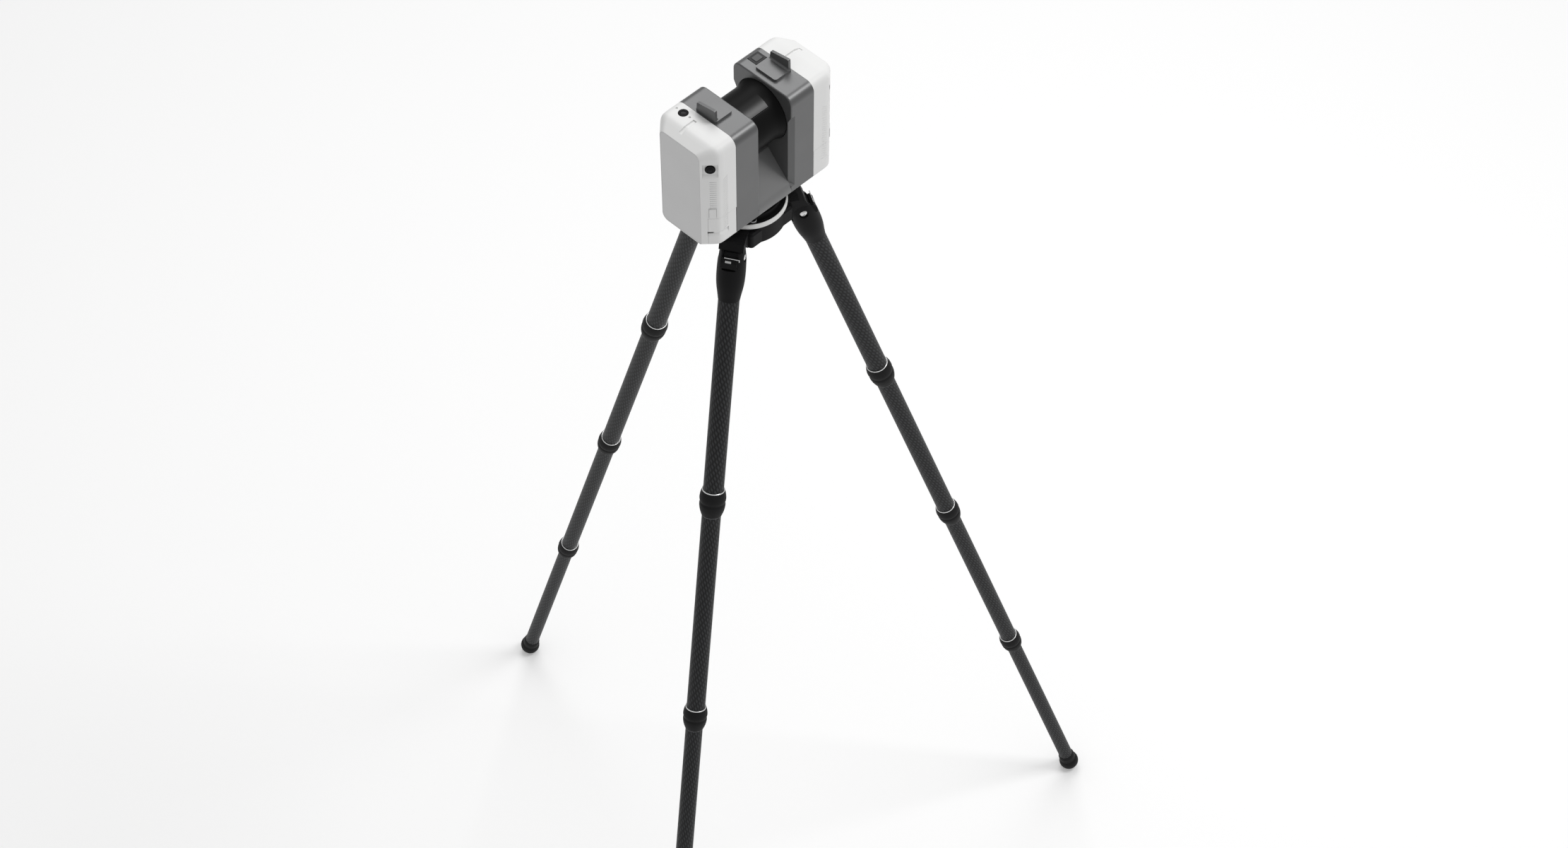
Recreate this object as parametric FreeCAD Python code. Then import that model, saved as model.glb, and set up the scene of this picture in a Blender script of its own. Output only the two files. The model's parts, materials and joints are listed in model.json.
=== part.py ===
"""Terrestrial laser scanner on a four-section carbon tripod.

Row frame, millimetres: the origin is the plumb point on the ground under the vertical axis,
+Z is up, +X runs along the mirror axis from the left lobe to the right lobe, and +Y points
towards the rear leg.  Every separate piece is written to parts/NAME.step.
"""
import FreeCAD, Part
import math
import os

V = FreeCAD.Vector
ORIGIN = V(0, 0, 0)
X_AXIS, Y_AXIS, Z_AXIS = V(1, 0, 0), V(0, 1, 0), V(0, 0, 1)
FAR = 400.0                      # longer than any piece it is used to trim

# ---- tripod -----------------------------------------------------------------
LEGS = {"rear": 90.0, "right": -30.0, "left": 210.0}     # azimuth of each leg, degrees
LEG_ANGLE = 17.87                # each leg from the vertical, degrees
LEG_LENGTH = 1677.2              # pivot to the centre of the ball foot
FOOT_RADIUS = 17.2
PIVOT_REACH = 80.4               # pivot axis from the vertical axis
PIVOT_Z = FOOT_RADIUS + LEG_LENGTH * math.cos(math.radians(LEG_ANGLE))

TUBE_RADII = [15.8, 14.65, 13.55, 12.2]                  # outer, top section first
TUBE_WALL = 1.05
LOCK_TOPS = [403.9, 810.7, 1227.5]                       # along the leg from the pivot
LOCK_LENGTHS = [43.7, 39.4, 37.6]
LOCK_SWELL = 4.4                 # collar radius over its upper tube
TUBE_OVERLAP = 35.0              # how far a section reaches up inside the one above
TUBE_PAST_LOCK = 21.0            # how far the upper tube enters its lock collar
RUN_CLEARANCE = 0.08             # radial play of sliding and turning fits

SOCKET_TOP = 28.0                # top end of the first tube inside the knuckle
KNUCKLE_END = 71.0
EAR_RADIUS = 16.5
EAR_HALF_GAP = 10.3
EAR_FACE = 17.2                  # spot face under each bolt head
TONGUE_HALF_WIDTH = 10.0
TONGUE_RADIUS = 14.4
ARM_HALF_WIDTH = 18.5
SKIRT_REACH, SKIRT_HALF_WIDTH = 62.0, 25.0          # tips of the rounded web between the arms
BOLT_RADIUS = 4.0
BOLT_HEAD_RADIUS = 6.4
BOLT_HEAD_HEIGHT = 2.3
BOLT_DOME_RADIUS = 10.0
LATCH_HALF_WIDTH = 12.0
LATCH_FACES = (15.0, 21.4)       # nearest and farthest from the leg axis
LATCH_SPAN = (-4.0, 13.0)        # along the leg

HUB_RADIUS = 57.0
HUB_BOTTOM = PIVOT_Z - 1.5
HUB_EDGE_RADIUS = 4.0
RING_RADIUS = 59.5
RING_BOTTOM = PIVOT_Z + 32.8
RING_HEIGHT = 8.0
RING_TOP = RING_BOTTOM + RING_HEIGHT
DECK_TOP = RING_TOP - 2.0        # black top plate inside the ring
SCREW_RADIUS = 7.87              # 5/8 inch centre screw
SCREW_BORE = SCREW_RADIUS + RUN_CLEARANCE
KNOB_RADIUS = 20.0
KNOB_HEIGHT = 19.0
SOCKET_AZIMUTH = 30.0            # accessory socket, between the rear and right arms
SOCKET_RADIUS = 3.97             # 3/8-16 UNC, minor radius
SOCKET_DEPTH = 14.0

# ---- scanner ----------------------------------------------------------------
BODY_BOTTOM = PIVOT_Z + 65.1
BODY_HEIGHT = 185.7
BODY_TOP = BODY_BOTTOM + BODY_HEIGHT
HALF_WIDTH = 58.2
GAP_HALF = 32.3                  # inner faces of the two lobes
SEAM = 77.3                      # joint of grey housing and white cover
BEVEL_START = 110.0
END_FACE = 129.5
PANEL_HALF_WIDTH = 39.5
BEVEL_LENGTH = math.hypot(END_FACE - BEVEL_START, HALF_WIDTH - PANEL_HALF_WIDTH)
PANEL_DROP = 10.0                # end face's top edge below the top of the lobe
TOP_RADIUS, PANEL_RADIUS = 15.0, 10.0
BOTTOM_RADII = (4.0, 11.0)       # lower edges on the -Y and +Y sides
HOUSING_WALL, COVER_WALL = 3.0, 2.5
CREASE_SOFTNESS, PANEL_EDGE_RADIUS, INNER_EDGE_RADIUS = 4.0, 0.8, 2.2
GUIDE_START, GUIDE_END, GUIDE_Y = 90.0, 119.0, 8.5     # sight groove on top of each cover
EDGE_CHAMFER = 7.0               # inner upright edges of the lobes
CHAMFER_TOP, CHAMFER_BLEND = BODY_TOP - 35.0, 14.0
POST_SPAN = (BODY_BOTTOM + 2.0, BODY_TOP - 20.0)
DRUM_Z = BODY_BOTTOM + 130.2
DRUM_RADIUS = 45.5
DRUM_HALF_LENGTH = 31.6
FLANGE_RADIUS = 49.0
FLARE = [(10.0, 0.0), (14.0, 0.0), (20.0, 0.4), (26.0, 1.7), (31.0, 3.5)]    # (x, rise over the drum)
RECESS_RADIUS = 49.5
RECESS_DEPTH = 7.0
SHAFT_RADIUS = 6.0
BRIDGE_TOP = BODY_BOTTOM + 62.2
BRIDGE_SHOULDER = BODY_BOTTOM + 13.2
BRIDGE_RIDGE_HALF = 11.5
BRIDGE_SHOULDER_RADII = (18.0, 5.0)              # foot of each slope, -Y and +Y sides
CHASSIS_BOTTOM = BODY_BOTTOM + HOUSING_WALL
CHASSIS_THICKNESS = 7.0
CHASSIS_HALF_WIDTH = 45.0
DOOR_HEIGHT = 53.2               # top of the battery door above the body's bottom
DOOR_BOTTOM = 3.0
DOOR_GAP = 0.15
DOOR_ALONG_BEVEL = 10.0          # free edge of the door, from the end face along the bevel
HINGE_X, HINGE_Y = 78.8, -57.0   # upright axis of the door, inside its rounded edge
HINGE_RADIUS = 1.2
LATCH_Z = (BODY_BOTTOM + 54.9, BODY_BOTTOM + 71.9)
LATCH_TRAVEL = 2.5
LATCH_SINK = 1.1                 # depth of the latch below the cover's face
CAMERA_RADIUS = 7.4
CAMERA_POCKET_DEPTH = 3.0
TOP_CAMERA = (-90.8, 31.6)
BEVEL_CAMERA_Z = BODY_BOTTOM + 149.7
BUTTON_CENTRE = (58.9, 36.3)
BUTTON_HALF = (10.5, 9.2)
BUTTON_PROUD = 0.5


# ---- small builders ---------------------------------------------------------
def solid_of(shape):
    """The one solid of a boolean result, or the compound when there are several."""
    shape = shape.removeSplitter()
    return shape.Solids[0] if len(shape.Solids) == 1 else Part.makeCompound(shape.Solids)


def fuse_all(shapes):
    return solid_of(shapes[0].multiFuse(shapes[1:]))


def outline(corners, place):
    """Closed wire through (a, b, corner radius) points; place(a, b) gives the point in space."""
    ends = []
    for i, (a, b, radius) in enumerate(corners):
        here = V(a, b, 0)
        to_last = (V(*corners[i - 1][:2], 0) - here).normalize()
        to_next = (V(*corners[(i + 1) % len(corners)][:2], 0) - here).normalize()
        half = to_last.getAngle(to_next) / 2
        reach = radius / math.tan(half)
        inward = (to_last + to_next).normalize() if radius else V(0, 0, 0)
        middle = here + inward * (radius / math.sin(half) - radius)
        ends.append((here + to_last * reach, middle, here + to_next * reach, radius))
    edges = []
    for i, (start, middle, end, radius) in enumerate(ends):
        if radius:
            arc = Part.Arc(*[place(p.x, p.y) for p in (start, middle, end)])
            edges.append(arc.toShape())
        following = ends[(i + 1) % len(ends)][0]
        if (following - end).Length > 1e-6:
            edges.append(Part.LineSegment(place(end.x, end.y), place(following.x, following.y)).toShape())
    return Part.Wire(edges)


def prism(corners, axis, low, high):
    """Extrude an outline along x (corners are y, z), y (x, z) or z (x, y) from low to high."""
    place = {"x": lambda a, b: V(low, a, b), "y": lambda a, b: V(a, low, b),
             "z": lambda a, b: V(a, b, low)}[axis]
    length = {"x": X_AXIS, "y": Y_AXIS, "z": Z_AXIS}[axis] * (high - low)
    return Part.Face(outline(corners, place)).extrude(length)


def block(x, y, z):
    return Part.makeBox(x[1] - x[0], y[1] - y[0], z[1] - z[0], V(x[0], y[0], z[0]))


def rod(radius, z, x=0.0, y=0.0):
    return Part.makeCylinder(radius, z[1] - z[0], V(x, y, z[0]), Z_AXIS)


def rod_x(radius, x, y=0.0, z=0.0):
    return Part.makeCylinder(radius, x[1] - x[0], V(x[0], y, z), X_AXIS)


def rod_y(radius, y, x=0.0, z=0.0):
    return Part.makeCylinder(radius, y[1] - y[0], V(x, y[0], z), Y_AXIS)


def turned(corners):
    """Revolve (radius, z, corner radius) points about the z axis."""
    wire = outline(corners, lambda a, b: V(a, 0, b))
    return Part.Face(wire).revolve(ORIGIN, Z_AXIS, 360)


def barrel(stations):
    """Solid of revolution about -z whose side is a smooth curve through (distance down, radius)."""
    points = [V(radius, 0, -down) for down, radius in stations]
    side = Part.BSplineCurve()
    side.interpolate(points)
    top, bottom = V(0, 0, points[0].z), V(0, 0, points[-1].z)
    edges = [side.toShape(), Part.LineSegment(points[-1], bottom).toShape(),
             Part.LineSegment(bottom, top).toShape(), Part.LineSegment(top, points[0]).toShape()]
    return Part.Face(Part.Wire(edges)).revolve(ORIGIN, Z_AXIS, 360)


def edges_at(shape, axis, place):
    """Edges that lie in the plane at this place along the axis X, Y or Z."""
    def inside(box):
        return max(abs(getattr(box, axis + end) - place) for end in ("Min", "Max")) < 1e-4
    return [edge for edge in shape.Edges if inside(edge.BoundBox)]


def rounded_at_x(shape, x, radius):
    return shape.makeFillet(radius, edges_at(shape, "X", x))


def mirrored_x(shape):
    return shape.mirror(ORIGIN, X_AXIS)


def to_leg(shape, azimuth):
    """Leg pieces are drawn with the pivot at the origin, the leg down -z and outward +x."""
    placed = shape.copy()
    placed.rotate(ORIGIN, Y_AXIS, -LEG_ANGLE)
    placed.translate(V(PIVOT_REACH, 0, PIVOT_Z))
    placed.rotate(ORIGIN, Z_AXIS, azimuth)
    return placed


def to_azimuth(shape, azimuth):
    placed = shape.copy()
    placed.rotate(ORIGIN, Z_AXIS, azimuth)
    return placed


# ---- tripod pieces ----------------------------------------------------------
def platform_skirt():
    """Web between the arms: a triangle in plan with wide blunt tips and a soft lower edge."""
    low, high = HUB_BOTTOM + 2.0, RING_BOTTOM - 5.0
    reach = math.hypot(SKIRT_REACH, SKIRT_HALF_WIDTH)
    spread = math.degrees(math.atan2(SKIRT_HALF_WIDTH, SKIRT_REACH))
    corners = []
    for azimuth in sorted(LEGS.values()):
        for turn in (-spread, spread):
            angle = math.radians(azimuth + turn)
            corners.append((reach * math.cos(angle), reach * math.sin(angle), 6.0))
    skirt = prism(corners, "z", low, high)
    skirt = skirt.makeFillet(2.0, edges_at(skirt, "Z", low))
    return skirt.makeChamfer(3.0, edges_at(skirt, "Z", high))


def tripod_platform():
    hub = turned([(0, HUB_BOTTOM, 0), (HUB_RADIUS, HUB_BOTTOM, HUB_EDGE_RADIUS),
                  (HUB_RADIUS, RING_BOTTOM, 0), (RING_RADIUS - 3.0, RING_BOTTOM, 0),
                  (RING_RADIUS - 3.0, DECK_TOP, 1.5), (0, DECK_TOP, 0)])
    pieces = [hub]
    arm_top = PIVOT_Z + 31.3
    arm_bottom = PIVOT_Z + 2.5
    arm = prism([(25, arm_bottom, 0), (PIVOT_REACH + 10, arm_bottom, 0),
                 (PIVOT_REACH + 7.5, PIVOT_Z + 16.5, 2),
                 (PIVOT_REACH + 2.5, arm_top - 3.5, 4), (PIVOT_REACH - 6, arm_top, 6), (25, arm_top, 0)],
                "y", -ARM_HALF_WIDTH, ARM_HALF_WIDTH)
    arm = arm.cut(rod_y(EAR_RADIUS + 0.7, (-FAR, FAR), PIVOT_REACH, PIVOT_Z))
    arm = arm.common(block((0, PIVOT_REACH + 7.5), (-FAR, FAR), (0, 2 * PIVOT_Z)))
    arm = max(arm.Solids, key=lambda s: s.Volume)
    web = prism([(25, PIVOT_Z - 13.5, 0), (PIVOT_REACH - 14, PIVOT_Z - 13.5, 4),
                 (PIVOT_REACH - 4, PIVOT_Z, 0),
                 (PIVOT_REACH - 4, arm_top - 8, 0), (25, arm_top - 8, 0)],
                "y", -TONGUE_HALF_WIDTH, TONGUE_HALF_WIDTH)
    tongue = rod_y(TONGUE_RADIUS, (-TONGUE_HALF_WIDTH, TONGUE_HALF_WIDTH), PIVOT_REACH, PIVOT_Z)
    bolt_hole = rod_y(BOLT_RADIUS, (-FAR, FAR), PIVOT_REACH, PIVOT_Z)
    for azimuth in LEGS.values():
        pieces += [to_azimuth(shape, azimuth) for shape in (arm, web, tongue)]
    pieces.append(platform_skirt())
    platform = fuse_all(pieces)
    holes = [to_azimuth(bolt_hole, azimuth) for azimuth in LEGS.values()]
    holes.append(rod(SCREW_BORE, (0, 2 * PIVOT_Z)))
    socket = rod_x(SOCKET_RADIUS, (HUB_RADIUS - SOCKET_DEPTH, HUB_RADIUS + 5), 0, PIVOT_Z + 18)
    holes.append(to_azimuth(socket, SOCKET_AZIMUTH))
    return solid_of(platform.cut(Part.makeCompound(holes)))


def platform_ring():
    inner = RING_RADIUS - 3.0
    return turned([(inner, RING_BOTTOM, 0), (RING_RADIUS - 0.6, RING_BOTTOM, 1.2),
                   (RING_RADIUS, RING_TOP - 4, 3),
                   (RING_RADIUS - 1.6, RING_TOP, 1.2), (inner, RING_TOP, 0)])


def pivot_bolts():
    pieces = []
    for azimuth in LEGS.values():
        shank = rod_y(BOLT_RADIUS, (-EAR_FACE - 0.1, EAR_FACE + 0.1), PIVOT_REACH, PIVOT_Z)
        heads = []
        for side in (-1, 1):
            near, far = EAR_FACE + 0.1, EAR_FACE + 0.1 + BOLT_HEAD_HEIGHT
            dome = Part.makeSphere(BOLT_DOME_RADIUS, V(PIVOT_REACH, far - BOLT_DOME_RADIUS, PIVOT_Z))
            head = rod_y(BOLT_HEAD_RADIUS, (near, far), PIVOT_REACH, PIVOT_Z).common(dome)
            head = head.cut(rod_y(2.0, (far - 1.2, far + 1), PIVOT_REACH, PIVOT_Z))
            heads.append(head if side > 0 else head.mirror(ORIGIN, Y_AXIS))
        pieces.append(to_azimuth(fuse_all([shank] + heads), azimuth))
    return Part.makeCompound(pieces)


def fixing_screw():
    knob_top = HUB_BOTTOM - 1.0
    knob = turned([(0, knob_top - KNOB_HEIGHT, 0), (KNOB_RADIUS, knob_top - KNOB_HEIGHT, 3),
                   (KNOB_RADIUS, knob_top, 2), (0, knob_top, 0)])
    grips = []
    for i in range(8):
        grip = rod(5.0, (0, 2 * PIVOT_Z), KNOB_RADIUS + 2.6)
        grips.append(to_azimuth(grip, 45.0 * i))
    shank = rod(SCREW_RADIUS, (knob_top - 1, DECK_TOP + 7))
    return fuse_all([knob.cut(Part.makeCompound(grips)), shank])


def leg_knuckle():
    """Fork that turns on the platform's tongue and holds the first tube."""
    body = barrel([(-18, 17.6), (-8, 19.0), (2, 20.4), (14, 21.1), (27, 21.3), (40, 20.9),
                   (50, 19.9), (60, 18.2), (KNUCKLE_END, 16.4)])
    ears = body.common(block((-FAR, FAR), (-FAR, FAR), (0, FAR)))
    ears = ears.common(rod_y(EAR_RADIUS, (-FAR, FAR)))
    body = body.common(block((-FAR, FAR), (-FAR, FAR), (-FAR, 0)))
    body = fuse_all([body, ears])
    cuts = [block((-FAR, FAR), (-EAR_HALF_GAP, EAR_HALF_GAP), (-SOCKET_TOP + 12, FAR)),
            rod(TUBE_RADII[0], (-FAR, -SOCKET_TOP)),
            rod_y(BOLT_RADIUS + RUN_CLEARANCE, (-FAR, FAR)),
            block((LATCH_FACES[0] - 0.3, FAR), (-LATCH_HALF_WIDTH - 0.3, LATCH_HALF_WIDTH + 0.3),
                  (-LATCH_SPAN[1] - 0.3, FAR))]
    for side in (-1, 1):
        spot = rod_y(BOLT_HEAD_RADIUS + 0.35, (EAR_FACE, FAR))
        cuts.append(spot if side > 0 else spot.mirror(ORIGIN, Y_AXIS))
    for cut in cuts:
        body = body.cut(cut)
    return solid_of(body)


def angle_latch():
    """Sprung catch that is pulled outward to let the leg spread wider."""
    low, high = -LATCH_SPAN[1], -LATCH_SPAN[0]
    near, far = LATCH_FACES
    section = [(near, low, 0), (far - 0.8, low, 1.5), (far, high - 7, 2),
               (far - 2.2, high, 1), (near, high, 0)]
    return prism(section, "y", -LATCH_HALF_WIDTH, LATCH_HALF_WIDTH)


def section_span(index):
    """Top and bottom end of one tube, measured down the leg."""
    top = SOCKET_TOP if index == 0 else LOCK_TOPS[index - 1] - TUBE_OVERLAP
    bottom = LEG_LENGTH - 6.0 if index == 3 else LOCK_TOPS[index] + TUBE_PAST_LOCK
    return top, bottom


def leg_tube(index):
    top, bottom = section_span(index)
    outer = rod(TUBE_RADII[index], (-bottom, -top))
    return outer.cut(rod(TUBE_RADII[index] - TUBE_WALL, (-bottom - 1, -top + 1)))


def lock_collar(index):
    """Twist collar: grips the lower tube, turns on the end of the upper one."""
    length = LOCK_LENGTHS[index]
    upper, lower = TUBE_RADII[index], TUBE_RADII[index + 1]
    widest = upper + LOCK_SWELL
    stations = [(0.0, upper + 1.5), (0.035 * length, upper + 2.2), (0.12 * length, widest - 1.1),
                (0.27 * length, widest), (0.42 * length, widest - 0.5), (0.47 * length, widest - 1.1),
                (0.52 * length, widest - 0.6), (0.63 * length, widest - 0.4), (0.78 * length, widest - 1.4),
                (0.91 * length, lower + 2.5), (length, lower + 1.1)]
    body = barrel(stations)
    body = body.cut(rod(upper + RUN_CLEARANCE, (-TUBE_PAST_LOCK - 0.5, 1)))
    body = body.cut(rod(lower + RUN_CLEARANCE, (-length - 1, 1)))
    body.translate(V(0, 0, -LOCK_TOPS[index]))
    return solid_of(body)


def rubber_foot():
    ball = Part.makeSphere(FOOT_RADIUS, V(0, 0, -LEG_LENGTH))
    neck = turned([(0, -LEG_LENGTH, 0), (14.2, -LEG_LENGTH, 0), (14.2, -LEG_LENGTH + 20, 1.5),
                   (12.6, -LEG_LENGTH + 25, 0), (0, -LEG_LENGTH + 25, 0)])
    foot = fuse_all([ball, neck])
    return solid_of(foot.cut(rod(TUBE_RADII[3], (-LEG_LENGTH + 6, 0))))


def leg_pieces(name, azimuth):
    pieces = {name + "_leg_knuckle": leg_knuckle(), name + "_angle_latch": angle_latch(),
              name + "_foot": rubber_foot()}
    for index in range(4):
        pieces["%s_leg_tube_%d" % (name, index + 1)] = leg_tube(index)
    for index in range(3):
        pieces["%s_lock_%d" % (name, index + 1)] = lock_collar(index)
    return {node: to_leg(shape, azimuth) for node, shape in pieces.items()}


# ---- mounting base under the scanner ----------------------------------------
ADAPTER_RADIUS = 50.0
BASE_BOTTOM = DECK_TOP + 10.7
BASE_TOP = BODY_BOTTOM - 1.0
LEVER_HINGE = (-23.0, -33.0)
LEVER_TIP = (-37.5, -50.5)
LEVER_Z = (BASE_BOTTOM + 3.0, BASE_BOTTOM + 7.6)
LEVER_PIN_RADIUS = 2.5
AZIMUTH_SHAFT_RADIUS = 12.0
BEARING_PLAY = 0.05
BEARING_INNER, BEARING_OUTER = AZIMUTH_SHAFT_RADIUS + BEARING_PLAY, 19.0
BEARING_Z = (BASE_TOP - 10.0, BASE_TOP - 0.5)


def quick_release_adapter():
    disc = turned([(0, DECK_TOP, 0), (ADAPTER_RADIUS, DECK_TOP, 1), (ADAPTER_RADIUS, BASE_BOTTOM, 1.5),
                   (0, BASE_BOTTOM, 0)])
    pin = rod(LEVER_PIN_RADIUS, (BASE_BOTTOM - 1, LEVER_Z[1] + 0.4), *LEVER_HINGE)
    return solid_of(disc.fuse(pin).cut(rod(SCREW_BORE, (0, 2 * PIVOT_Z))))


def quick_release_lever():
    eye = rod(5.6, LEVER_Z, *LEVER_HINGE)
    tip = rod(5.0, LEVER_Z, *LEVER_TIP)
    along = V(LEVER_TIP[0] - LEVER_HINGE[0], LEVER_TIP[1] - LEVER_HINGE[1], 0)
    across = V(-along.y, along.x, 0).normalize() * 3.6
    start, end = V(*LEVER_HINGE, LEVER_Z[0]), V(*LEVER_TIP, LEVER_Z[0])
    corners = [start + across, end + across, end - across, start - across, start + across]
    bar = Part.Face(Part.makePolygon(corners)).extrude(V(0, 0, LEVER_Z[1] - LEVER_Z[0]))
    hole = rod(LEVER_PIN_RADIUS + RUN_CLEARANCE, (0, 2 * PIVOT_Z), *LEVER_HINGE)
    return solid_of(fuse_all([eye, tip, bar]).cut(hole))


def scanner_base():
    step = BASE_BOTTOM + 8.8
    neck, flange = 34.0, 44.0
    body = turned([(0, BASE_BOTTOM, 0), (neck, BASE_BOTTOM, 0), (neck, step, 0), (flange, step, 1.5),
                   (flange, BASE_TOP, 2), (0, BASE_TOP, 0)])
    body = body.cut(rod(12.8, (0, 2 * PIVOT_Z)))
    return solid_of(body.cut(rod(BEARING_OUTER, (BEARING_Z[0], 2 * PIVOT_Z))))


def azimuth_bearing():
    return turned([(BEARING_INNER, BEARING_Z[0], 0.6), (BEARING_OUTER, BEARING_Z[0], 0.6),
                   (BEARING_OUTER, BEARING_Z[1], 0.6), (BEARING_INNER, BEARING_Z[1], 0.6)])


# ---- scanner body -----------------------------------------------------------
def lobe_section(inset=0.0, half_width=HALF_WIDTH, top=BODY_TOP, top_radius=TOP_RADIUS):
    low, high, half = BODY_BOTTOM + inset, top - inset, half_width - inset
    front, back = [max(radius - inset, 1.0) for radius in BOTTOM_RADII]
    return [(-half, low, front), (half, low, back),
            (half, high, top_radius - inset), (-half, high, top_radius - inset)]


def s_curve(face):
    """Outline (y, z) of the edge chamfer, from the bridge's slope up to an S above the drum's axis."""
    edge, inner = HALF_WIDTH * face, (HALF_WIDTH - EDGE_CHAMFER) * face
    low = CHAMFER_TOP - CHAMFER_BLEND
    return [(inner - 3 * face, BRIDGE_SHOULDER + EDGE_CHAMFER + 3, 0),
            (edge + 2 * face, BRIDGE_SHOULDER - 2, 0), (edge + 2 * face, CHAMFER_TOP, 0),
            (edge - 0.6 * face, CHAMFER_TOP, 4), (inner - 0.6 * face, low, 5),
            (inner - 3 * face, low - 12, 0)]


def edge_chamfer(face):
    """Cutter for the inner upright edge of the right lobe, fading out in an S near the top."""
    edge, relief = HALF_WIDTH * face, EDGE_CHAMFER
    corner = [(GAP_HALF - 1, edge + face, 0), (GAP_HALF + relief, edge + face, 0),
              (GAP_HALF + relief, edge, 0), (GAP_HALF, edge - relief * face, 0),
              (GAP_HALF - 1, edge - relief * face, 0)]
    chamfer = prism(corner, "z", BODY_BOTTOM, BODY_TOP)
    return chamfer.common(prism(s_curve(face), "x", 0, SEAM))


def housing(side):
    """Grey half of one lobe: open towards its white cover, cupped for the drum's flange."""
    sharp = prism(lobe_section(), "x", GAP_HALF, SEAM)
    soft = rounded_at_x(sharp, GAP_HALF, INNER_EDGE_RADIUS)
    above = block((0, FAR), (-FAR, FAR), (BRIDGE_SHOULDER, 2 * BODY_TOP))
    shell = fuse_all([soft.common(above), sharp.cut(above)])
    shell = shell.cut(prism(lobe_section(HOUSING_WALL), "x", GAP_HALF + HOUSING_WALL, SEAM + 1))
    cup_floor = GAP_HALF + RECESS_DEPTH
    cup = rod_x(RECESS_RADIUS + 2.6, (GAP_HALF + 1, cup_floor + HOUSING_WALL), 0, DRUM_Z)
    shell = shell.fuse(cup)
    post = EDGE_CHAMFER + 5.0
    for face in (-1, 1):
        edge = (HALF_WIDTH - 1) * face
        corner = [(GAP_HALF + 1, edge, 0), (GAP_HALF + post, edge, 0), (GAP_HALF + 1, edge - post * face, 0)]
        shell = shell.fuse(prism(corner, "z", *POST_SPAN))
    bore = SHAFT_RADIUS + 1.0 if side > 0 else 18.0
    cuts = [rod_x(RECESS_RADIUS, (0, cup_floor), 0, DRUM_Z), rod_x(bore, (0, SEAM), 0, DRUM_Z),
            block((0, SEAM - 1), (-CHASSIS_HALF_WIDTH - 0.3, CHASSIS_HALF_WIDTH + 0.3),
                  (CHASSIS_BOTTOM, CHASSIS_BOTTOM + CHASSIS_THICKNESS + 0.3))]
    if side > 0:
        cuts += [edge_chamfer(face) for face in (-1, 1)]
        cuts.append(block((BUTTON_CENTRE[0] - BUTTON_HALF[0] - 0.3, BUTTON_CENTRE[0] + BUTTON_HALF[0] + 0.3),
                          (BUTTON_CENTRE[1] - BUTTON_HALF[1] - 0.3, BUTTON_CENTRE[1] + BUTTON_HALF[1] + 0.3),
                          (BODY_TOP - HOUSING_WALL - 1, BODY_TOP + 1)))
    for cut in cuts:
        shell = shell.cut(cut)
    shell = solid_of(shell)
    return shell if side > 0 else mirrored_x(shell)


def bridge_cover():
    """Roof-shaped cover between the lobes, over the vertical axis."""
    def roof(inset):
        shoulder = inset * 1.4
        front, back = [max(radius - inset, 1.0) for radius in BOTTOM_RADII]
        front_bend, back_bend = [radius - inset for radius in BRIDGE_SHOULDER_RADII]
        low, side = BODY_BOTTOM + inset, BRIDGE_SHOULDER - inset * 0.4
        return [(-HALF_WIDTH + inset, low, front), (HALF_WIDTH - inset, low, back),
                (HALF_WIDTH - inset, side, back_bend), (BRIDGE_RIDGE_HALF, BRIDGE_TOP - shoulder, 3),
                (-BRIDGE_RIDGE_HALF, BRIDGE_TOP - shoulder, 3), (-HALF_WIDTH + inset, side, front_bend)]
    reach = GAP_HALF - 0.02
    cover = prism(roof(0), "x", -reach, reach).cut(prism(roof(HOUSING_WALL), "x", -FAR, FAR))
    return solid_of(cover.cut(rod(13.0, (0, BODY_BOTTOM + 20))))


def chassis():
    """Plate that carries both lobes, with the hollow azimuth shaft under it."""
    top = CHASSIS_BOTTOM + CHASSIS_THICKNESS
    plate = block((-100, 100), (-CHASSIS_HALF_WIDTH, CHASSIS_HALF_WIDTH), (CHASSIS_BOTTOM, top))
    shaft = rod(AZIMUTH_SHAFT_RADIUS, (BASE_BOTTOM + 2, CHASSIS_BOTTOM + 1))
    boss = rod(20.0, (top - 1, top + 4))
    return solid_of(fuse_all([plate, shaft, boss]).cut(rod(7.0, (0, 2 * PIVOT_Z))))


def cover_form(inset, start, end):
    """White end of the right-hand lobe as a solid: straight part, then the softly creased taper."""
    straight_end = BEVEL_START - 9.0
    stations = [straight_end + step for step in (0, 3, 6, 8, 10, 12, 15)] + [END_FACE]
    begin = soft_ramp(straight_end - BEVEL_START)
    scale = (END_FACE - BEVEL_START) / (soft_ramp(END_FACE - BEVEL_START) - begin)
    wires = []
    for x in stations:
        share = scale * (soft_ramp(x - BEVEL_START) - begin) / (END_FACE - BEVEL_START)
        half = HALF_WIDTH + (PANEL_HALF_WIDTH - HALF_WIDTH) * share
        radius = TOP_RADIUS + (PANEL_RADIUS - TOP_RADIUS) * share
        corners = lobe_section(inset, half, BODY_TOP - PANEL_DROP * share, radius)
        wires.append(outline(corners, lambda a, b, x=x: V(x, a, b)))
    taper = Part.makeLoft(wires, True, True)
    straight = prism(lobe_section(inset), "x", start, straight_end)
    form = solid_of(straight.fuse(taper))
    return form.common(block((start, end), (-FAR, FAR), (0, 2 * BODY_TOP)))


def soft_ramp(t):
    """Ramp that is flat before 0 and rises by 1 per unit after it, with a rounded start."""
    return (t + math.hypot(t, CREASE_SOFTNESS)) / 2


def panel_corners(margin):
    half, top = PANEL_HALF_WIDTH - 0.6 + margin, BODY_TOP - PANEL_DROP - 0.7 + margin
    low = BODY_BOTTOM + 1.4 - margin
    front, back = [radius - 0.8 for radius in BOTTOM_RADII]
    return [(-half, low, front), (half, low, back),
            (half, top, PANEL_RADIUS - 1), (-half, top, PANEL_RADIUS - 1)]


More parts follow.
